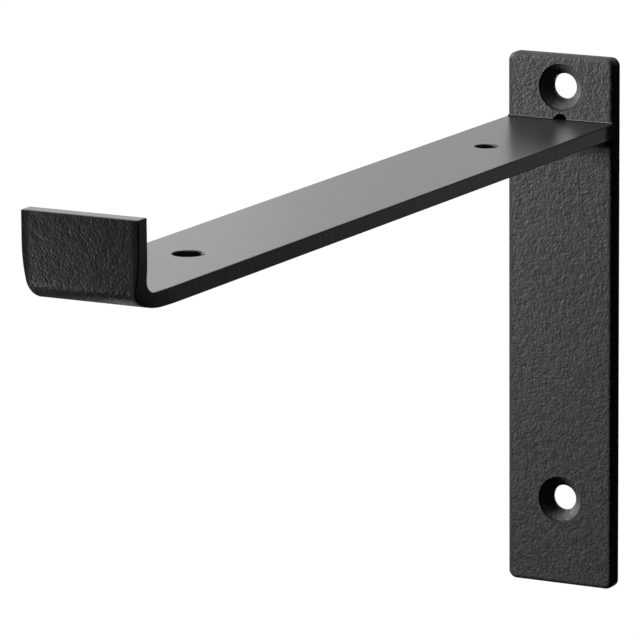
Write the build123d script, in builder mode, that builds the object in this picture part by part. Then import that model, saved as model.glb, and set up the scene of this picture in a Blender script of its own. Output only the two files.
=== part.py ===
from build123d import *
from math import hypot
import os

# A wall bracket that carries one end of a shelf board. It is welded from two lengths
# of flat steel bar: an upright plate that is screwed to the wall, and an arm that
# stands out from it, with its far end bent up into a lip that holds the board.
#
# Frame, in millimetres: +Z is up, the wall is the plane y = 0 and the arm points
# towards -Y. The origin is on the wall, in the middle of the bars' width, level with
# the arm's top, which is where the board lies.

# Both bars
bar_width = 38.0

# Wall plate
plate_height = 176.0
plate_thickness = 5.0
plate_rise = 21.0             # the plate's top above the arm's top
plate_corner_round = 2.8      # corners of the plate's outline
plate_front_round = 1.4       # edge all round the plate's front
plate_back_round = 0.3        # edge all round the plate's back

# Countersunk wall screw holes
screw_hole_diameter = 8.5
countersink_diameter = 15.5
countersink_angle = 90.0
upper_screw_drop = 10.5       # upper hole's centre below the plate's top
screw_spacing = 137.0         # from the upper hole to the lower one

# Blind round hole at the joint, which the arm's end half covers
jig_hole_diameter = 4.9
jig_hole_depth = 3.0
jig_hole_drop = 0.5           # its centre below the arm's top

# Shelf arm and its lip
arm_thickness = 5.0
shelf_depth = 300.0           # clear depth from the plate's front to the lip
lip_height = 22.0             # the lip's top above the arm's top
bend_radius = 5.0             # inside of the bend
# The lip was wiped up over a die, so the bend's outside is longer along the arm
bend_outside_run = 14.0       # along the arm
bend_outside_rise = 7.0       # up the lip
# The outside of the bend stretched as it was bent, and drew in the bar's two sides
bend_side_draw = 1.8          # each side, at the very outside of the bend
side_draw_run = 24.0          # along the arm, from the lip's outer face
side_draw_rise = 18.0         # up the lip, from the arm's underside
arm_edge_round = 0.4

# Holes for the screws that go up into the board
rear_hole_diameter = 7.4
rear_hole_setback = 53.0      # from the plate's front
front_hole_diameter = 9.4
front_hole_setback = 56.0     # from the lip's inner face
hole_rim_chamfer = 0.3

# Weld under the arm
weld_leg = 3.0
weld_crown = 0.4              # how far its face swells past a straight one
weld_end_margin = 1.5         # bare bar at each end of the weld
weld_end_round = 0.6

# Places worked out from the sizes above
plate_front = Plane.XZ.offset(plate_thickness)   # local x is X, local y is Z
plate_middle = plate_rise - plate_height / 2
upper_screw_level = plate_rise - upper_screw_drop
lip_inner_y = -plate_thickness - shelf_depth
lip_outer_y = lip_inner_y - arm_thickness
bend_outside_middle = (lip_outer_y + bend_outside_run, -arm_thickness + bend_outside_rise)

# The drawn in sides are hollows with the bend's diagonal as their axis
draw_on_lip = Vector(0, lip_outer_y, -arm_thickness + side_draw_rise)
draw_on_arm = Vector(0, lip_outer_y + side_draw_run, -arm_thickness)
bend_diagonal = (draw_on_arm - draw_on_lip).normalized()
draw_plane = Plane(origin=draw_on_lip, x_dir=(1, 0, 0), z_dir=bend_diagonal)
bend_outward = draw_plane.y_dir
draw_reach = (Vector(0, *bend_outside_middle) - draw_on_lip).dot(bend_outward) + hypot(
    bend_outside_run * bend_outward.Y, bend_outside_rise * bend_outward.Z
)
draw_radius = (draw_reach**2 + bend_side_draw**2) / (2 * bend_side_draw)

rear_hole_y = -plate_thickness - rear_hole_setback
front_hole_y = lip_inner_y + front_hole_setback

os.makedirs("parts", exist_ok=True)

# Wall plate: a flat bar with softly rounded edges, drilled and countersunk
with BuildPart(plate_front) as wall_plate:
    with BuildSketch(plate_front):
        with Locations((0, plate_middle)):
            RectangleRounded(bar_width, plate_height, plate_corner_round)
    extrude(amount=-plate_thickness)
    fillet(wall_plate.faces().sort_by(Axis.Y)[0].edges(), radius=plate_front_round)
    fillet(wall_plate.faces().sort_by(Axis.Y)[-1].edges(), radius=plate_back_round)
    # The rounding is filled flush at the joint, so that the arm's end is backed all over
    with BuildSketch(plate_front):
        with Locations((0, -arm_thickness / 2)):
            Rectangle(bar_width, arm_thickness)
    extrude(amount=-plate_front_round)
    with Locations((0, upper_screw_level), (0, upper_screw_level - screw_spacing)):
        CounterSinkHole(
            radius=screw_hole_diameter / 2,
            counter_sink_radius=countersink_diameter / 2,
            depth=plate_thickness,
            counter_sink_angle=countersink_angle,
        )
    with Locations((0, -jig_hole_drop)):
        Hole(radius=jig_hole_diameter / 2, depth=jig_hole_depth)

# Shelf arm: a second flat bar, bent up at its far end into the lip
with BuildPart() as shelf_arm:
    with BuildSketch(Plane.YZ):
        with BuildLine():
            inside = FilletPolyline(
                (-plate_thickness, 0),
                (lip_inner_y, 0),
                (lip_inner_y, lip_height),
                radius=bend_radius,
            )
            bend_outside = EllipticalCenterArc(
                bend_outside_middle,
                bend_outside_run,
                bend_outside_rise,
                start_angle=180,
                arc_size=90,
            )
            Polyline(inside @ 1, (lip_outer_y, lip_height), bend_outside @ 0)
            Polyline(bend_outside @ 1, (-plate_thickness, -arm_thickness), inside @ 0)
        make_face()
    extrude(amount=bar_width / 2, both=True)
    with BuildSketch(draw_plane):
        with BuildLine():
            hollow = JernArc((bar_width / 2, 0), tangent=(0, 1), radius=draw_radius, arc_size=45)
            Polyline(hollow @ 1, (bar_width / 2, (hollow @ 1).Y), hollow @ 0)
        make_face()
        mirror(about=Plane.YZ)
    extrude(amount=shelf_depth, both=True, mode=Mode.SUBTRACT)
    welded_end = shelf_arm.faces().sort_by(Axis.Y)[-1]
    draw_starts = shelf_arm.edges().filter_by(Axis(draw_on_lip, bend_diagonal))
    fillet(shelf_arm.edges() - welded_end.edges() - draw_starts, radius=arm_edge_round)
    with Locations((0, rear_hole_y)):
        Hole(radius=rear_hole_diameter / 2)
    with Locations((0, front_hole_y)):
        Hole(radius=front_hole_diameter / 2)
    hole_rims = shelf_arm.edges().filter_by(GeomType.CIRCLE).filter_by(lambda edge: edge.is_closed)
    chamfer(hole_rims, length=hole_rim_chamfer)

# Weld bead: a fillet weld in the corner under the arm, with a slightly swollen face
with BuildPart() as weld_bead:
    with BuildSketch(Plane.YZ):
        with BuildLine():
            weld_root = (-plate_thickness, -arm_thickness)
            arm_toe = (-plate_thickness - weld_leg, -arm_thickness)
            plate_toe = (-plate_thickness, -arm_thickness - weld_leg)
            Line(weld_root, arm_toe)
            SagittaArc(arm_toe, plate_toe, -weld_crown)
            Line(plate_toe, weld_root)
        make_face()
    extrude(amount=bar_width / 2 - weld_end_margin, both=True)
    fillet(weld_bead.edges().filter_by(GeomType.CIRCLE), radius=weld_end_round)

wall_plate.part.label = "wall_plate"
export_step(wall_plate.part, "parts/wall_plate.step")

shelf_arm.part.label = "shelf_arm"
export_step(shelf_arm.part, "parts/shelf_arm.step")

weld_bead.part.label = "weld_bead"
export_step(weld_bead.part, "parts/weld_bead.step")
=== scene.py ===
import math
from typing import NamedTuple

import bmesh
import bpy
from bpy.props import FloatProperty, FloatVectorProperty, PointerProperty
from bpy.types import Operator, Panel, PropertyGroup
from mathutils import Matrix, Vector


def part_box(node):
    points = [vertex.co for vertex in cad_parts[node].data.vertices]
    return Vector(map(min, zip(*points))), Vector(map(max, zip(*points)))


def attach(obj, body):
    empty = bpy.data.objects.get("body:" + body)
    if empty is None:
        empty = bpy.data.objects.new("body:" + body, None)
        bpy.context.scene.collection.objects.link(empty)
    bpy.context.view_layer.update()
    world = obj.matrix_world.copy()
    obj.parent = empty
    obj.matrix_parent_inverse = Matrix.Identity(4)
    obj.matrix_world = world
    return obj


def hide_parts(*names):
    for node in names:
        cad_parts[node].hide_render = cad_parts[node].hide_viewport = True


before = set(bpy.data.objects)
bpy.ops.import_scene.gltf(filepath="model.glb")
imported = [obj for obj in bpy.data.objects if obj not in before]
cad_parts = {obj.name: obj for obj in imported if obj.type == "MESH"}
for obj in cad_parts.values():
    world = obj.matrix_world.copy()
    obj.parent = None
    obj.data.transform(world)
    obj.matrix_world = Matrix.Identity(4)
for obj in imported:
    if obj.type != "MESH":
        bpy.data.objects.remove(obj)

bl_info = {
    "name": "Flat bar shelf bracket",
    "version": (1, 0, 0),
    "blender": (4, 5, 0),
    "location": "View3D > Sidebar > Bracket",
    "description": "Finishes a welded flat bar shelf bracket and sets it on a plain stage",
    "category": "Object",
}

BODY = "root"


# Settings

class CoatSettings(PropertyGroup):
    """The black powder coat on all the pieces."""

    coat_colour: FloatVectorProperty(
        name="Coat", description="Colour of the coat between its grains",
        subtype="COLOR", size=3, min=0.0, max=1.0, default=(0.014, 0.014, 0.0143),
    )
    # Painted highlight: the grains' tops are painted this lighter colour, standing in for light on the
    # relief, while the coat between them keeps the darker colour above
    painted_grain_highlight: FloatVectorProperty(
        name="Grain tops", description="Colour on top of the grains",
        subtype="COLOR", size=3, min=0.0, max=1.0, default=(0.044, 0.044, 0.045),
    )
    grain_size: FloatProperty(
        name="Grain size", description="Distance from one grain to the next",
        unit="LENGTH", min=0.0002, max=0.01, default=0.00076,
    )
    grain_depth: FloatProperty(
        name="Grain depth", description="Height of the grains above the coat",
        unit="LENGTH", min=0.0, max=0.001, default=0.00018,
    )


class WeldSettings(PropertyGroup):
    """The weld under the arm, and the seam of coat above it."""

    ripple_pitch: FloatProperty(
        name="Ripple pitch", description="Distance from one ripple of the weld to the next",
        unit="LENGTH", min=0.0005, max=0.01, default=0.0014,
    )
    ripple_depth: FloatProperty(
        name="Ripple depth", description="Share of the weld's size lost between two ripples",
        subtype="FACTOR", min=0.0, max=0.5, default=0.09,
    )
    seam_leg: FloatProperty(
        name="Seam", description="Size of the coat that pooled in the corner above the arm",
        unit="LENGTH", min=0.0002, max=0.002, default=0.0008,
    )


class StageSettings(PropertyGroup):
    """The floor and the camera."""

    floor_drop: FloatProperty(
        name="Floor drop", description="Height of the bracket above the floor",
        unit="LENGTH", min=0.0, default=0.35,
    )
    azimuth: FloatProperty(
        name="Azimuth", description="Camera's turn from straight in front, towards +X",
        subtype="ANGLE", default=math.radians(28.366),
    )
    elevation: FloatProperty(
        name="Elevation", description="Camera's height above the horizon",
        subtype="ANGLE", default=math.radians(12.049),
    )
    roll: FloatProperty(
        name="Roll", description="Camera's turn about its own line of sight",
        subtype="ANGLE", default=math.radians(-0.426),
    )
    distance: FloatProperty(
        name="Distance", description="Camera's distance from the point that it looks at",
        unit="LENGTH", default=1.8462,
    )
    aim: FloatVectorProperty(
        name="Aim", description="The point that the camera looks at",
        subtype="XYZ_LENGTH", size=3, default=(-0.04024, -0.095, -0.05281),
    )
    lens: FloatProperty(
        name="Lens", description="Focal length in millimetres, on a 36 mm wide sensor",
        min=10.0, max=1000.0, default=329.42,
    )


# Small helpers for node trees

COLOUR_A, COLOUR_B, COLOUR_RESULT = 6, 7, 2      # places of a Mix node's colour sockets


def add_node(tree, kind, place, **values):
    """Adds a node of that kind, at that place in the tree, with these properties set."""
    node = tree.nodes.new(kind)
    node.location = place
    for name, value in values.items():
        setattr(node, name, value)
    return node


def feed(tree, socket, value):
    """Links another node's output to this input, or sets the input to a plain value."""
    if isinstance(value, bpy.types.NodeSocket):
        tree.links.new(value, socket)
    else:
        socket.default_value = value


def calculate(tree, operation, first, second, place):
    """A Math node's result. first and second are sockets or numbers."""
    node = add_node(tree, "ShaderNodeMath", place, operation=operation)
    feed(tree, node.inputs[0], first)
    feed(tree, node.inputs[1], second)
    return node.outputs[0]


def map_range(tree, value, place, begins=0.0, ends=1.0, low=0.0, high=1.0, ease="LINEAR"):
    """A Map Range node's result: low while value is up to begins, and high once it reaches ends."""
    node = add_node(tree, "ShaderNodeMapRange", place, interpolation_type=ease)
    given = {"Value": value, "From Min": begins, "From Max": ends, "To Min": low, "To Max": high}
    for name, amount in given.items():
        feed(tree, node.inputs[name], amount)
    return node.outputs[0]


def noise(tree, vector, place, scale, detail):
    """A Noise Texture's value at that vector."""
    node = add_node(tree, "ShaderNodeTexNoise", place)
    node.inputs["Scale"].default_value = scale
    node.inputs["Detail"].default_value = detail
    feed(tree, node.inputs["Vector"], vector)
    return node.outputs[0]


def mix_colours(tree, share, first, second, place):
    """A Mix node's colour: first for a share of 0, and second for 1."""
    node = add_node(tree, "ShaderNodeMix", place, data_type="RGBA")
    feed(tree, node.inputs[0], share)
    feed(tree, node.inputs[COLOUR_A], (*first, 1.0))
    feed(tree, node.inputs[COLOUR_B], (*second, 1.0))
    return node.outputs[COLOUR_RESULT]


def split(tree, vector, place):
    """A vector's three parts, by the names X, Y and Z."""
    node = add_node(tree, "ShaderNodeSeparateXYZ", place)
    feed(tree, node.inputs[0], vector)
    return node.outputs


def shared_group(name, inputs, outputs, fill):
    """A shader node group, made and filled only the first time that it is asked for.

    inputs gives each input's default, with None for a vector. All the outputs are numbers.
    """
    if name in bpy.data.node_groups:
        return bpy.data.node_groups[name]
    group = bpy.data.node_groups.new(name, "ShaderNodeTree")
    for label, default in inputs.items():
        kind = "NodeSocketVector" if default is None else "NodeSocketFloat"
        socket = group.interface.new_socket(label, in_out="INPUT", socket_type=kind)
        if default is not None:
            socket.default_value = default
    for label in outputs:
        group.interface.new_socket(label, in_out="OUTPUT", socket_type="NodeSocketFloat")
    start = add_node(group, "NodeGroupInput", (-1200, 0))
    end = add_node(group, "NodeGroupOutput", (900, 0))
    fill(group, start.outputs, end.inputs)
    return group


def place_group(tree, group, place, **values):
    """Puts a group in a tree. Each value goes to the input of its name, with _ for a space."""
    node = add_node(tree, "ShaderNodeGroup", place, node_tree=group)
    for name, value in values.items():
        feed(tree, node.inputs[name.replace("_", " ")], value)
    return node.outputs


def new_material(name):
    """A material with an empty node tree."""
    material = bpy.data.materials.new(name)
    material.use_nodes = True
    material.node_tree.nodes.clear()
    return material


# Effects that the coats share

GRAIN_DETAIL = 0.6
SWELL_SCALE = 0.3                # of the grains' own, so a swell is some three grains long
SWELL_DETAIL = 1.0
PAINTED_TOPS_RANGE = (0.7, 1.3)          # heights between which a grain's side becomes its top, where the highlight is painted

# How far a face has to look that way before it counts, and from where it counts in full
LEVEL_RANGE = (0.55, 0.95)
SIDE_RANGE = (0.55, 0.95)
UP_RANGE = (0.05, 0.30)

# Where shade is painted on the coat, in metres
CORNER_RANGE = (-0.012, -0.0072)     # Y where the painted corner shade begins, and where it is darkest
SCREWS_MIDDLE = -0.058               # level halfway between the two countersunk holes
SCREWS_REACH = 0.0685                # from there to either hole
RIM_RADIUS = 0.0075
RIM_RANGE = (0.0004, 0.0002)         # distance off that radius where the painted rim shade begins and where it is strongest
RIM_BACK = -0.004                    # Y that cuts the rims off, or they would show on the back too


def grain_group():
    """Grains and longer swells in the coat, and a mask that is 1 on their tops, where a highlight is
    painted.
    """

    def fill(group, given, result):
        per_metre = calculate(group, "DIVIDE", 1.0, given["Grain Size"], (-1000, -200))
        in_grains = add_node(group, "ShaderNodeVectorMath", (-800, 0), operation="SCALE")
        feed(group, in_grains.inputs[0], given["Position"])
        feed(group, in_grains.inputs["Scale"], per_metre)
        steps = in_grains.outputs[0]
        grains = noise(group, steps, (-400, 200), scale=1.0, detail=GRAIN_DETAIL)
        swells = noise(group, steps, (-400, -200), scale=SWELL_SCALE, detail=SWELL_DETAIL)
        height = calculate(group, "ADD", grains, swells, (0, 0))
        feed(group, result["Grains"], grains)
        feed(group, result["Swells"], swells)
        feed(group, result["Painted Tops"], map_range(group, height, (400, -200), *PAINTED_TOPS_RANGE))

    inputs = {"Position": None, "Grain Size": 0.001}
    return shared_group("powder grain", inputs, ("Grains", "Swells", "Painted Tops"), fill)


def facing_group():
    """Where the surface is level, where it is a bar's narrow side, and where it faces up at all."""

    def fill(group, given, result):
        parts = split(group, given["Normal"], (-600, 0))
        sideways = calculate(group, "ABSOLUTE", parts["X"], 0.0, (-300, 0))
        level = map_range(group, parts["Z"], (200, 300), *LEVEL_RANGE, ease="SMOOTHSTEP")
        side = map_range(group, sideways, (200, 0), *SIDE_RANGE, ease="SMOOTHSTEP")
        up = map_range(group, parts["Z"], (200, -300), *UP_RANGE, ease="SMOOTHSTEP")
        feed(group, result["Level"], level)
        feed(group, result["Side"], side)
        feed(group, result["Up"], up)

    return shared_group("facing", {"Normal": None}, ("Level", "Side", "Up"), fill)


def edge_group():
    """The band along a bar's long edges, where shade is painted on the coat."""

    def fill(group, given, result):
        parts = split(group, given["Position"], (-800, 0))
        from_middle = calculate(group, "ABSOLUTE", parts["X"], 0.0, (-500, 0))
        band = map_range(
            group, from_middle, (-200, 0), given["Begins"], given["Ends"], ease="SMOOTHSTEP",
        )
        not_side = calculate(group, "SUBTRACT", 1.0, given["Side"], (-200, -300))
        not_up = calculate(group, "SUBTRACT", 1.0, given["Up"], (-200, -500))
        face = calculate(group, "MULTIPLY", not_side, not_up, (100, -300))
        feed(group, result["Edge"], calculate(group, "MULTIPLY", band, face, (400, 0)))

    inputs = {"Position": None, "Begins": 0.0164, "Ends": 0.0184, "Side": 0.0, "Up": 0.0}
    return shared_group("painted edge shade", inputs, ("Edge",), fill)


def corner_group():
    """The end of the arm's sides by the plate, where shade is painted into the corner."""

    def fill(group, given, result):
        parts = split(group, given["Position"], (-600, 0))
        fade = map_range(group, parts["Y"], (-300, 0), *CORNER_RANGE, ease="SMOOTHSTEP")
        feed(group, result["Corner"], calculate(group, "MULTIPLY", fade, given["Side"], (200, 0)))

    return shared_group("painted corner shade", {"Position": None, "Side": 0.0}, ("Corner",), fill)


def rim_group():
    """The ring just inside both countersinks' rims, where shade is painted as well."""

    def fill(group, given, result):
        parts = split(group, given["Position"], (-1000, 0))
        from_middle = calculate(group, "SUBTRACT", parts["Z"], given["Middle"], (-800, 0))
        folded = calculate(group, "ABSOLUTE", from_middle, 0.0, (-600, 0))
        from_hole = calculate(group, "SUBTRACT", folded, given["Reach"], (-400, 0))
        flat = add_node(group, "ShaderNodeCombineXYZ", (-200, 0))
        feed(group, flat.inputs["X"], parts["X"])
        feed(group, flat.inputs["Y"], from_hole)
        from_axis = add_node(group, "ShaderNodeVectorMath", (0, 0), operation="LENGTH")
        feed(group, from_axis.inputs[0], flat.outputs[0])
        past = calculate(group, "SUBTRACT", from_axis.outputs["Value"], given["Radius"], (200, 0))
        away = calculate(group, "ABSOLUTE", past, 0.0, (400, 0))
        ring = map_range(group, away, (600, 0), *RIM_RANGE, ease="SMOOTHSTEP")
        in_front = calculate(group, "LESS_THAN", parts["Y"], RIM_BACK, (400, -300))
        feed(group, result["Rim"], calculate(group, "MULTIPLY", ring, in_front, (750, -150)))

    inputs = {"Position": None, "Middle": SCREWS_MIDDLE, "Reach": SCREWS_REACH, "Radius": RIM_RADIUS}
    return shared_group("painted rim shade", inputs, ("Rim",), fill)


# The coat, as each piece wears it

LEAST_SWELLS = 0.30              # share of the swells that even a smooth face keeps
PATCH_SCALE = 45.0               # of the faint lighter and darker patches, for each metre
PATCH_DETAIL = 4.0
PATCH_STRENGTH = 0.35
# Strength of the painted shade round the countersinks' rims
RIM_STRENGTH = 1.6
PAINTED_SHADE_TONE = -0.8                 # added to the tone where shade is painted
PAINTED_SHADE_ROUGHNESS = 0.9
COAT_IOR = 1.5


class CoatLook(NamedTuple):
    """How one piece wears the coat: how rough it is, and its share of the grain."""

    name: str
    roughness: float             # on faces that look out or down
    level_roughness: float       # on faces that look up
    grain: float                 # on faces that look out or down
    side_grain: float            # on a bar's narrow sides
    level_grain: float           # on faces that look up
    edge_begins: float           # from the middle of the bars' width to where the painted edge shade begins
    edge_ends: float             # and to where it is darkest
    # Whether shade is painted round the countersinks' rims, and on the arm's sides at the corner by
    # the plate
    painted_rim_shade: bool = False
    painted_corner_shade: bool = False


PLATE_COAT = CoatLook(
    "plate coat", roughness=0.55, level_roughness=0.65, grain=1.0, side_grain=1.0, level_grain=1.0,
    edge_begins=0.0164, edge_ends=0.0184, painted_rim_shade=True,
)
ARM_COAT = CoatLook(
    "arm coat", roughness=0.42, level_roughness=0.30, grain=1.0, side_grain=0.35, level_grain=0.06,
    edge_begins=0.0150, edge_ends=0.0180, painted_corner_shade=True,
)
WELD_COAT = CoatLook(
    "weld coat", roughness=0.45, level_roughness=0.40, grain=0.5, side_grain=0.5, level_grain=0.3,
    edge_begins=0.0164, edge_ends=0.0184,
)
SEAM_COAT = CoatLook(
    "seam coat", roughness=0.32, level_roughness=0.32, grain=0.25, side_grain=0.25, level_grain=0.25,
    edge_begins=0.0186, edge_ends=0.0190,
)


def coat_material(look):
    """Black powder coat: grains in relief, with a painted highlight on their tops, and dull and darker
    with painted shade along the long edges, and also round the countersinks' rims or at the arm's
    corner by the plate where the look has them.
    """
    settings = bpy.context.scene.bracket_coat
    material = new_material(look.name)
    tree = material.node_tree
    where = add_node(tree, "ShaderNodeTexCoord", (-1400, 0)).outputs
    position = where["Object"]
    grain = place_group(
        tree, grain_group(), (-1100, 100), Position=position, Grain_Size=settings.grain_size,
    )
    facing = place_group(tree, facing_group(), (-1100, -200), Normal=where["Normal"])

    # Relief
    upright = map_range(tree, facing["Side"], (-800, -200), low=look.grain, high=look.side_grain)
    depth = map_range(tree, facing["Level"], (-600, -200), low=upright, high=look.level_grain)
    swell_depth = calculate(tree, "MAXIMUM", depth, LEAST_SWELLS, (-600, -500))
    grains = calculate(tree, "MULTIPLY", grain["Grains"], depth, (-600, 0))
    swells = calculate(tree, "MULTIPLY", grain["Swells"], swell_depth, (-400, -500))
    bump = add_node(tree, "ShaderNodeBump", (-200, -300))
    bump.inputs["Strength"].default_value = 1.0
    bump.inputs["Distance"].default_value = settings.grain_depth
    feed(tree, bump.inputs["Height"], calculate(tree, "ADD", grains, swells, (-400, -300)))

    # Painted shade along the long edges, and round the rims and at the corner where the look has them;
    # the coat is dull there too
    painted_shade = place_group(
        tree, edge_group(), (-900, 800), Position=position,
        Begins=look.edge_begins, Ends=look.edge_ends, Side=facing["Side"], Up=facing["Up"],
    )["Edge"]
    # Painted shade round the countersinks' rims
    if look.painted_rim_shade:
        rim = place_group(tree, rim_group(), (-1100, 1100), Position=position)["Rim"]
        strong_rim = calculate(tree, "MULTIPLY", rim, RIM_STRENGTH, (-900, 1100))
        painted_shade = calculate(tree, "MAXIMUM", painted_shade, strong_rim, (-700, 1000))
    # Painted shade on the arm's sides at the corner by the plate
    if look.painted_corner_shade:
        corner = place_group(
            tree, corner_group(), (-900, 1300), Position=position, Side=facing["Side"],
        )["Corner"]
        painted_shade = calculate(tree, "MAXIMUM", painted_shade, corner, (-700, 1200))

    # Tone: a painted highlight on the grains' tops, faint random patches, and painted shade along the
    # edges, rims and corner
    # Painted highlight on the grains' tops
    tops = calculate(tree, "MULTIPLY", grain["Painted Tops"], depth, (-600, 200))
    patches = noise(tree, position, (-800, 500), scale=PATCH_SCALE, detail=PATCH_DETAIL)
    patched = calculate(tree, "MULTIPLY", patches, PATCH_STRENGTH, (-600, 500))
    full = calculate(tree, "ADD", tops, patched, (-400, 300))
    # Painted shade: darker where the mask is 1
    painted_darkening = calculate(tree, "MULTIPLY", painted_shade, PAINTED_SHADE_TONE, (-500, 800))
    tone = calculate(tree, "ADD", full, painted_darkening, (-300, 500))
    colour = mix_colours(tree, tone, settings.coat_colour, settings.painted_grain_highlight, (-100, 400))

    # Gloss
    face_roughness = map_range(
        tree, facing["Level"], (-300, 0), low=look.roughness, high=look.level_roughness,
    )
    roughness = map_range(tree, painted_shade, (-100, 0), low=face_roughness, high=PAINTED_SHADE_ROUGHNESS)

    surface = add_node(tree, "ShaderNodeBsdfPrincipled", (200, 0))
    surface.inputs["IOR"].default_value = COAT_IOR
    feed(tree, surface.inputs["Base Color"], colour)
    feed(tree, surface.inputs["Roughness"], roughness)
    feed(tree, surface.inputs["Normal"], bump.outputs[0])
    out = add_node(tree, "ShaderNodeOutputMaterial", (500, 0))
    feed(tree, out.inputs["Surface"], surface.outputs[0])
    return material


def dress(node_name, look):
    """Gives a bar its coat."""
    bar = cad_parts[node_name]
    bar.data.materials.clear()
    bar.data.materials.append(coat_material(look))


class BRACKET_OT_coat_wall_plate(Operator):
    """Coats the plate that is screwed to the wall"""

    bl_idname = "bracket.coat_wall_plate"
    bl_label = "Coat wall plate"

    def execute(self, context):
        dress("wall_plate", PLATE_COAT)
        return {"FINISHED"}


class BRACKET_OT_coat_shelf_arm(Operator):
    """Coats the arm that carries the board, with its lip"""

    bl_idname = "bracket.coat_shelf_arm"
    bl_label = "Coat shelf arm"

    def execute(self, context):
        dress("shelf_arm", ARM_COAT)
        return {"FINISHED"}


# The weld and the seam, which are both runs of fillet

RUN_POINTS = 260                 # sections along a run
RUN_END_SIZE = 0.35              # share of its size that is left at a run's two ends
STRAY_SCALE = 0.7                # how fast the pitch of the ripples wanders
STRAY_DETAIL = 1.0
ROUNDING = 0.22                  # of the section's outer corners, as a share of the leg
ROUNDING_POINTS = 5
SAME_POINT = 1e-7                # points nearer to each other than this are one

BELOW, ABOVE = 1.0, -1.0         # the side of the corner that a run lies on
WELD_LEG_SHARE = 1.08            # of the plain bead's height, because the rounding takes some off
WELD_CROWN = 0.62                # how far out the face's middle is, as a share of the leg
WELD_RUN_OUT = 0.003
SEAM_CROWN = 0.5
SEAM_RUN_OUT = 0.002
SEAM_END = 0.0186                # from the middle of the arm to the seam's outer end
HOLE_EDGE = 0.0024               # from there to the edge of the round hole in the corner
ARM_THICKNESS = 0.005


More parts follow.
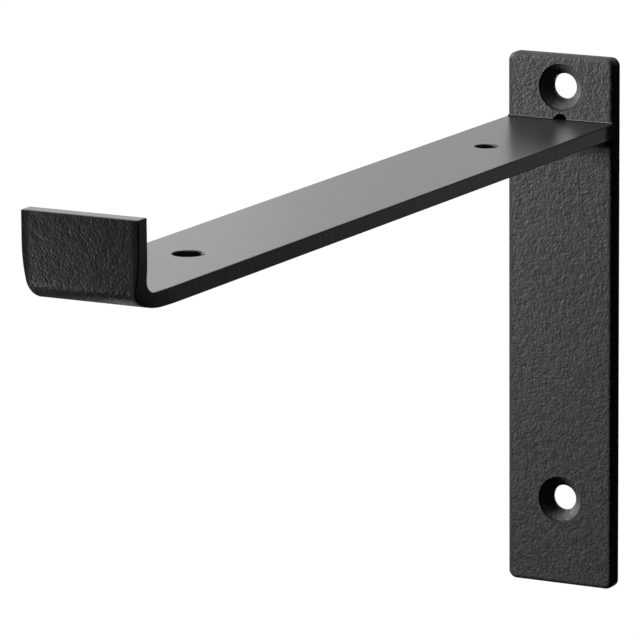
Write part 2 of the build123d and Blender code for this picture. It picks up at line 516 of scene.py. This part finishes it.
def fillet_tree():
    """A run of fillet along X in a corner, with a swollen, rippled face and ends that run out.

    One leg lies on the plate, below the corner for a Side of 1 and above it for a Side of -1.
    The other leg, of the same length, lies on the arm. The weld and the seam share this one tree.
    """
    name = "corner fillet"
    if name in bpy.data.node_groups:
        return bpy.data.node_groups[name]
    tree = bpy.data.node_groups.new(name, "GeometryNodeTree")
    for label, kind in (
        ("Start", "Vector"), ("End", "Vector"), ("Leg", "Float"), ("Side", "Float"),
        ("Crown", "Float"), ("Ripple Pitch", "Float"), ("Ripple Depth", "Float"),
        ("Run Out", "Float"), ("Material", "Material"),
    ):
        tree.interface.new_socket(label, in_out="INPUT", socket_type="NodeSocket" + kind)
    tree.interface.new_socket("Geometry", in_out="OUTPUT", socket_type="NodeSocketGeometry")
    given = add_node(tree, "NodeGroupInput", (-1600, 0)).outputs

    # The run's axis lies in the corner
    axis = add_node(tree, "GeometryNodeCurvePrimitiveLine", (-1300, 300))
    feed(tree, axis.inputs["Start"], given["Start"])
    feed(tree, axis.inputs["End"], given["End"])
    points = add_node(tree, "GeometryNodeResampleCurve", (-1100, 300))
    points.inputs["Count"].default_value = RUN_POINTS
    feed(tree, points.inputs["Curve"], axis.outputs[0])

    # Ripples, with an uneven pitch
    along = add_node(tree, "GeometryNodeSplineParameter", (-1600, -300)).outputs["Length"]
    turns = calculate(tree, "DIVIDE", along, given["Ripple Pitch"], (-1400, -300))
    uneven = add_node(tree, "ShaderNodeTexNoise", (-1400, -500), noise_dimensions="1D")
    uneven.inputs["Scale"].default_value = STRAY_SCALE
    uneven.inputs["Detail"].default_value = STRAY_DETAIL
    feed(tree, uneven.inputs["W"], turns)
    strayed = calculate(tree, "ADD", turns, uneven.outputs[0], (-1200, -300))
    angle = calculate(tree, "MULTIPLY", strayed, math.pi, (-1000, -300))
    wave = calculate(tree, "SINE", angle, 0.0, (-800, -300))
    scallop = calculate(tree, "ABSOLUTE", wave, 0.0, (-600, -300))
    valley = calculate(tree, "SUBTRACT", 1.0, scallop, (-400, -300))
    dip = calculate(tree, "MULTIPLY", valley, given["Ripple Depth"], (-200, -300))
    rippled = calculate(tree, "SUBTRACT", 1.0, dip, (0, -300))

    # Both ends run out
    whole = add_node(tree, "GeometryNodeSplineLength", (-1600, -700)).outputs["Length"]
    to_end = calculate(tree, "SUBTRACT", whole, along, (-1400, -700))
    nearest = calculate(tree, "MINIMUM", along, to_end, (-1200, -700))
    share = map_range(
        tree, nearest, (-1000, -700), ends=given["Run Out"], low=RUN_END_SIZE, ease="SMOOTHERSTEP",
    )
    sized = add_node(tree, "GeometryNodeSetCurveRadius", (400, 300))
    feed(tree, sized.inputs["Curve"], points.outputs[0])
    feed(tree, sized.inputs["Radius"], calculate(tree, "MULTIPLY", rippled, share, (200, -500)))

    # The section goes from the corner out along the arm, over the crown to the plate, and back
    leg = given["Leg"]
    leg_down = calculate(tree, "MULTIPLY", leg, given["Side"], (-1300, 0))
    crown_out = calculate(tree, "MULTIPLY", leg, given["Crown"], (-1300, -150))
    crown_down = calculate(tree, "MULTIPLY", crown_out, given["Side"], (-1100, -150))
    section = add_node(tree, "GeometryNodeCurvePrimitiveQuadrilateral", (-600, 0), mode="POINTS")
    section.inputs["Point 1"].default_value = (0.0, 0.0, 0.0)
    for label, out, down, place in (
        ("Point 2", leg, 0.0, (-850, 100)),
        ("Point 3", crown_out, crown_down, (-850, -50)),
        ("Point 4", 0.0, leg_down, (-850, -200)),
    ):
        corner = add_node(tree, "ShaderNodeCombineXYZ", place)
        feed(tree, corner.inputs["X"], out)
        feed(tree, corner.inputs["Y"], down)
        feed(tree, section.inputs[label], corner.outputs[0])
    rounded = add_node(tree, "GeometryNodeFilletCurve", (-300, 0), mode="POLY")
    rounded.inputs["Count"].default_value = ROUNDING_POINTS
    rounded.inputs["Limit Radius"].default_value = True
    feed(tree, rounded.inputs["Curve"], section.outputs[0])
    feed(tree, rounded.inputs["Radius"], calculate(tree, "MULTIPLY", leg, ROUNDING, (-600, -200)))

    swept = add_node(tree, "GeometryNodeCurveToMesh", (600, 200))
    swept.inputs["Fill Caps"].default_value = True
    feed(tree, swept.inputs["Curve"], sized.outputs[0])
    feed(tree, swept.inputs["Profile Curve"], rounded.outputs[0])
    smooth = add_node(tree, "GeometryNodeSetShadeSmooth", (800, 200))
    feed(tree, smooth.inputs[0], swept.outputs[0])
    made = add_node(tree, "GeometryNodeRealizeInstances", (1000, 200))
    feed(tree, made.inputs[0], smooth.outputs[0])
    coated = add_node(tree, "GeometryNodeSetMaterial", (1200, 200))
    feed(tree, coated.inputs["Geometry"], made.outputs[0])
    feed(tree, coated.inputs["Material"], given["Material"])
    end = add_node(tree, "NodeGroupOutput", (1400, 200))
    feed(tree, end.inputs["Geometry"], coated.outputs[0])
    return tree


def grow_piece(name, tree, values, body):
    """Runs a tree with these values on an empty mesh, and keeps the result as a plain piece."""
    seed = bpy.data.objects.new(name + "_seed", bpy.data.meshes.new(name + "_seed"))
    bpy.context.scene.collection.objects.link(seed)
    modifier = seed.modifiers.new(name, "NODES")
    modifier.node_group = tree
    for item in tree.interface.items_tree:
        if item.in_out == "INPUT":
            modifier[item.identifier] = values[item.name]
    grown = seed.evaluated_get(bpy.context.evaluated_depsgraph_get())
    mesh = bpy.data.meshes.new_from_object(grown)
    seed.modifiers.remove(modifier)
    bpy.data.objects.remove(seed)
    mesh.name = name
    shell = bmesh.new()
    shell.from_mesh(mesh)
    bmesh.ops.remove_doubles(shell, verts=shell.verts, dist=SAME_POINT)
    bmesh.ops.recalc_face_normals(shell, faces=shell.faces)
    shell.to_mesh(mesh)
    shell.free()
    piece = bpy.data.objects.new(name, mesh)
    bpy.context.scene.collection.objects.link(piece)
    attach(piece, body)
    return piece


class BRACKET_OT_lay_weld(Operator):
    """Lays the rippled weld in the corner under the arm"""

    bl_idname = "bracket.lay_weld"
    bl_label = "Lay weld"

    def execute(self, context):
        settings = context.scene.bracket_weld
        low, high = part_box("weld_bead")
        values = {
            "Start": (low.x, high.y, high.z), "End": (high.x, high.y, high.z),
            "Leg": WELD_LEG_SHARE * (high.z - low.z), "Side": BELOW, "Crown": WELD_CROWN,
            "Ripple Pitch": settings.ripple_pitch, "Ripple Depth": settings.ripple_depth,
            "Run Out": WELD_RUN_OUT, "Material": coat_material(WELD_COAT),
        }
        piece = grow_piece("weld_run", fillet_tree(), values, BODY)
        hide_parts("weld_bead")
        return {"FINISHED"}


class BRACKET_OT_lay_seam(Operator):
    """Lays the coat that pooled in the corner above the arm, on both sides of the round hole there"""

    bl_idname = "bracket.lay_seam"
    bl_label = "Lay seam of coat"

    def execute(self, context):
        settings = context.scene.bracket_weld
        corner_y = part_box("shelf_arm")[1].y
        corner_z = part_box("weld_bead")[1].z + ARM_THICKNESS
        tree = fillet_tree()
        material = coat_material(SEAM_COAT)
        for name, begins, ends in (
            ("coat_seam_left", -SEAM_END, -HOLE_EDGE), ("coat_seam_right", HOLE_EDGE, SEAM_END),
        ):
            values = {
                "Start": (begins, corner_y, corner_z), "End": (ends, corner_y, corner_z),
                "Leg": settings.seam_leg, "Side": ABOVE, "Crown": SEAM_CROWN,
                "Ripple Pitch": settings.ripple_pitch, "Ripple Depth": 0.0,
                "Run Out": SEAM_RUN_OUT, "Material": material,
            }
            grow_piece(name, tree, values, BODY)
        return {"FINISHED"}


# The stage

class Softbox(NamedTuple):
    """A soft square lamp, turned from its place to a point. Size in metres, power in watts."""

    name: str
    place: tuple
    aim: tuple
    size: float
    power: float


SOFTBOXES = (
    Softbox("key_softbox", (-0.50, -0.24, 0.07), (0.0, -0.02, 0.0), 0.12, 5.9),
    Softbox("lip_softbox", (-0.092, -0.347, -0.040), (0.0, -0.31, 0.0), 0.07, 0.057),
    Softbox("top_softbox", (-0.15, -0.12, 0.50), (0.0, -0.02, 0.0), 0.20, 1.0),
    Softbox("back_softbox", (-0.85, 0.75, 0.30), (0.0, -0.20, 0.0), 0.60, 0.46),
    Softbox("under_softbox", (-0.30, 0.75, -0.36), (0.0, 0.0, -0.05), 0.50, 5.5),
)
# Low lamps for the arm alone: one along its right side, one at the bend and one at the lip's foot
ARM_SOFTBOXES = (
    Softbox("side_softbox", (0.30, 0.52, -0.13), (0.0, -0.10, 0.0), 0.14, 0.090),
    Softbox("bend_softbox", (0.086, -0.21, -0.042), (0.019, -0.30, 0.0), 0.03, 0.0010),
    Softbox("foot_softbox", (-0.018, -0.271, -0.057), (0.015, -0.305, -0.005), 0.02, 0.0023),
)

FLOOR_REACH = 12.0
FLOOR_COLOUR = (0.05, 0.05, 0.05, 1.0)
CARD_COLOUR = (0.004, 0.004, 0.004, 1.0)
WHITE = (1.0, 1.0, 1.0, 1.0)

DOME_MIDDLE = (-0.93, 0.35, 0.1)     # the way to the brightest part of the mirrored dome
DOME_RANGE = (-0.2, 0.6)             # cosines from there, at the dome's dark and bright ends
DOME_DARK = 0.03
DOME_BRIGHT = 1.05
FILL = 0.15                          # even light from all round

SENSOR_WIDTH = 36.0                  # in millimetres
VIEW_DEPTH = 100.0


def floor_material():
    """A floor that shows white to the camera and hardly lights the bracket. It is clear from below."""
    material = new_material("pale floor")
    tree = material.node_tree
    paint = add_node(tree, "ShaderNodeBsdfDiffuse", (-200, 100))
    paint.inputs["Color"].default_value = FLOOR_COLOUR
    rays = add_node(tree, "ShaderNodeLightPath", (-400, -100)).outputs
    glow = add_node(tree, "ShaderNodeEmission", (-200, -100))
    glow.inputs["Color"].default_value = WHITE
    feed(tree, glow.inputs["Strength"], rays["Is Camera Ray"])
    both = add_node(tree, "ShaderNodeAddShader", (0, 0))
    feed(tree, both.inputs[0], paint.outputs[0])
    feed(tree, both.inputs[1], glow.outputs[0])
    sides = add_node(tree, "ShaderNodeNewGeometry", (-200, 400)).outputs
    clear = add_node(tree, "ShaderNodeBsdfTransparent", (0, -200))
    one_sided = add_node(tree, "ShaderNodeMixShader", (200, 0))
    feed(tree, one_sided.inputs[0], sides["Backfacing"])
    feed(tree, one_sided.inputs[1], both.outputs[0])
    feed(tree, one_sided.inputs[2], clear.outputs[0])
    out = add_node(tree, "ShaderNodeOutputMaterial", (400, 0))
    feed(tree, out.inputs["Surface"], one_sided.outputs[0])
    return material


def card_material():
    """Black without any shine."""
    material = bpy.data.materials.new("black card")
    material.use_nodes = True
    surface = material.node_tree.nodes["Principled BSDF"]
    surface.inputs["Base Color"].default_value = CARD_COLOUR
    surface.inputs["Roughness"].default_value = 1.0
    surface.inputs["Specular IOR Level"].default_value = 0.0
    return material


def plane(name, corners, material):
    """A flat stage piece with these four corners."""
    mesh = bpy.data.meshes.new(name)
    mesh.from_pydata(corners, [], [range(len(corners))])
    mesh.materials.append(material)
    made = bpy.data.objects.new(name, mesh)
    bpy.context.scene.collection.objects.link(made)
    return made


def lay_floor(drop):
    """A wide floor, this far below the plate's foot."""
    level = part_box("wall_plate")[0].z - drop
    reach = FLOOR_REACH
    corners = [
        (-reach, -reach, level), (reach, -reach, level), (reach, reach, level), (-reach, reach, level),
    ]
    plane("floor", corners, floor_material())


def hang_shade_card(material):
    """A card on the right, out of the camera's sight, that darkens the bars' right sides."""
    x, near, far, low, high = 0.32, -0.6, 2.2, -0.5, 0.6
    corners = [(x, near, low), (x, far, low), (x, far, high), (x, near, high)]
    card = plane("shade_card", corners, material)
    card.visible_camera = False
    card.visible_shadow = False


def hang_divider_card(material):
    """A card left of the lip, level with it, that parts the lip's light from the plate's."""
    y, left, right, low, high = -0.305, -0.9, -0.03, -0.5, 0.5
    corners = [(left, y, low), (right, y, low), (right, y, high), (left, y, high)]
    card = plane("divider_card", corners, material)
    card.visible_camera = False


def light_world():
    """White to the camera, a dome to reflections that is bright on the left, and an even fill."""
    world = bpy.data.worlds.new("studio")
    bpy.context.scene.world = world
    world.use_nodes = True
    tree = world.node_tree
    tree.nodes.clear()
    where = add_node(tree, "ShaderNodeTexCoord", (-1000, 0)).outputs
    towards = add_node(tree, "ShaderNodeVectorMath", (-800, 0), operation="DOT_PRODUCT")
    feed(tree, towards.inputs[0], where["Generated"])
    feed(tree, towards.inputs[1], Vector(DOME_MIDDLE).normalized())
    dome = map_range(
        tree, towards.outputs["Value"], (-600, 0), *DOME_RANGE, DOME_DARK, DOME_BRIGHT,
        ease="SMOOTHSTEP",
    )
    rays = add_node(tree, "ShaderNodeLightPath", (-1000, -300)).outputs
    mirrored = calculate(tree, "MULTIPLY", dome, rays["Is Glossy Ray"], (-400, 100))
    filled = calculate(tree, "MAXIMUM", mirrored, FILL, (-200, 100))
    strength = calculate(tree, "MAXIMUM", filled, rays["Is Camera Ray"], (0, 0))
    sky = add_node(tree, "ShaderNodeBackground", (200, 0))
    sky.inputs["Color"].default_value = WHITE
    feed(tree, sky.inputs["Strength"], strength)
    out = add_node(tree, "ShaderNodeOutputWorld", (400, 0))
    feed(tree, out.inputs["Surface"], sky.outputs[0])


def hang_softbox(softbox):
    """Hangs one lamp, out of the camera's sight."""
    lamp = bpy.data.lights.new(softbox.name, "AREA")
    lamp.shape = "SQUARE"
    lamp.size = softbox.size
    lamp.energy = softbox.power
    hung = bpy.data.objects.new(softbox.name, lamp)
    bpy.context.scene.collection.objects.link(hung)
    hung.visible_camera = False
    hung.location = softbox.place
    sight = Vector(softbox.aim) - Vector(softbox.place)
    hung.rotation_euler = sight.to_track_quat("-Z", "Y").to_euler()
    return hung


def hang_softboxes():
    """Hangs the lamps for the whole bracket, and then those for the arm alone."""
    for softbox in SOFTBOXES:
        hang_softbox(softbox)
    lit = bpy.data.collections.new("lit by the arm's softboxes")
    lit.objects.link(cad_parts["shelf_arm"])
    for softbox in ARM_SOFTBOXES:
        hang_softbox(softbox).light_linking.receiver_collection = lit


def set_camera(settings):
    """A camera with a long lens, turned to the aim and rolled a little."""
    azimuth, elevation, roll = settings.azimuth, settings.elevation, settings.roll
    back = Vector((
        math.sin(azimuth) * math.cos(elevation),
        -math.cos(azimuth) * math.cos(elevation),
        math.sin(elevation),
    ))
    level_right = Vector((math.cos(azimuth), math.sin(azimuth), 0.0))
    level_up = back.cross(level_right)
    right = math.cos(roll) * level_right + math.sin(roll) * level_up
    up = math.cos(roll) * level_up - math.sin(roll) * level_right
    data = bpy.data.cameras.new("camera")
    data.sensor_width = SENSOR_WIDTH
    data.lens = settings.lens
    data.clip_end = VIEW_DEPTH
    camera = bpy.data.objects.new("camera", data)
    bpy.context.scene.collection.objects.link(camera)
    place = Vector(settings.aim) + back * settings.distance
    turn = Matrix((right, up, back)).transposed().to_4x4()
    camera.matrix_world = Matrix.Translation(place) @ turn
    bpy.context.scene.camera = camera


class BRACKET_OT_set_stage(Operator):
    """Lays the floor, hangs the cards and the lights, and sets the camera"""

    bl_idname = "bracket.set_stage"
    bl_label = "Set stage"

    def execute(self, context):
        settings = context.scene.bracket_stage
        card = card_material()
        lay_floor(settings.floor_drop)
        hang_shade_card(card)
        hang_divider_card(card)
        light_world()
        hang_softboxes()
        set_camera(settings)
        context.scene.view_settings.view_transform = "Standard"
        return {"FINISHED"}


class BRACKET_PT_panel(Panel):
    """The bracket's settings and steps"""

    bl_idname = "BRACKET_PT_panel"
    bl_label = "Shelf bracket"
    bl_space_type = "VIEW_3D"
    bl_region_type = "UI"
    bl_category = "Bracket"

    def draw(self, context):
        layout = self.layout
        scene = context.scene
        for settings in (scene.bracket_coat, scene.bracket_weld, scene.bracket_stage):
            column = layout.column()
            for name in settings.__annotations__:
                column.prop(settings, name)
        for step in STEPS:
            layout.operator(step.bl_idname)


STEPS = (
    BRACKET_OT_coat_wall_plate,
    BRACKET_OT_coat_shelf_arm,
    BRACKET_OT_lay_weld,
    BRACKET_OT_lay_seam,
    BRACKET_OT_set_stage,
)
CLASSES = (CoatSettings, WeldSettings, StageSettings, *STEPS, BRACKET_PT_panel)


def register():
    for made in CLASSES:
        bpy.utils.register_class(made)
    bpy.types.Scene.bracket_coat = PointerProperty(type=CoatSettings)
    bpy.types.Scene.bracket_weld = PointerProperty(type=WeldSettings)
    bpy.types.Scene.bracket_stage = PointerProperty(type=StageSettings)


def unregister():
    del bpy.types.Scene.bracket_stage
    del bpy.types.Scene.bracket_weld
    del bpy.types.Scene.bracket_coat
    for made in reversed(CLASSES):
        bpy.utils.unregister_class(made)


def main():
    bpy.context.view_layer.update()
    register()
    bpy.ops.bracket.coat_wall_plate()
    bpy.ops.bracket.coat_shelf_arm()
    bpy.ops.bracket.lay_weld()
    bpy.ops.bracket.lay_seam()
    bpy.ops.bracket.set_stage()


if __name__ == "__main__":
    main()
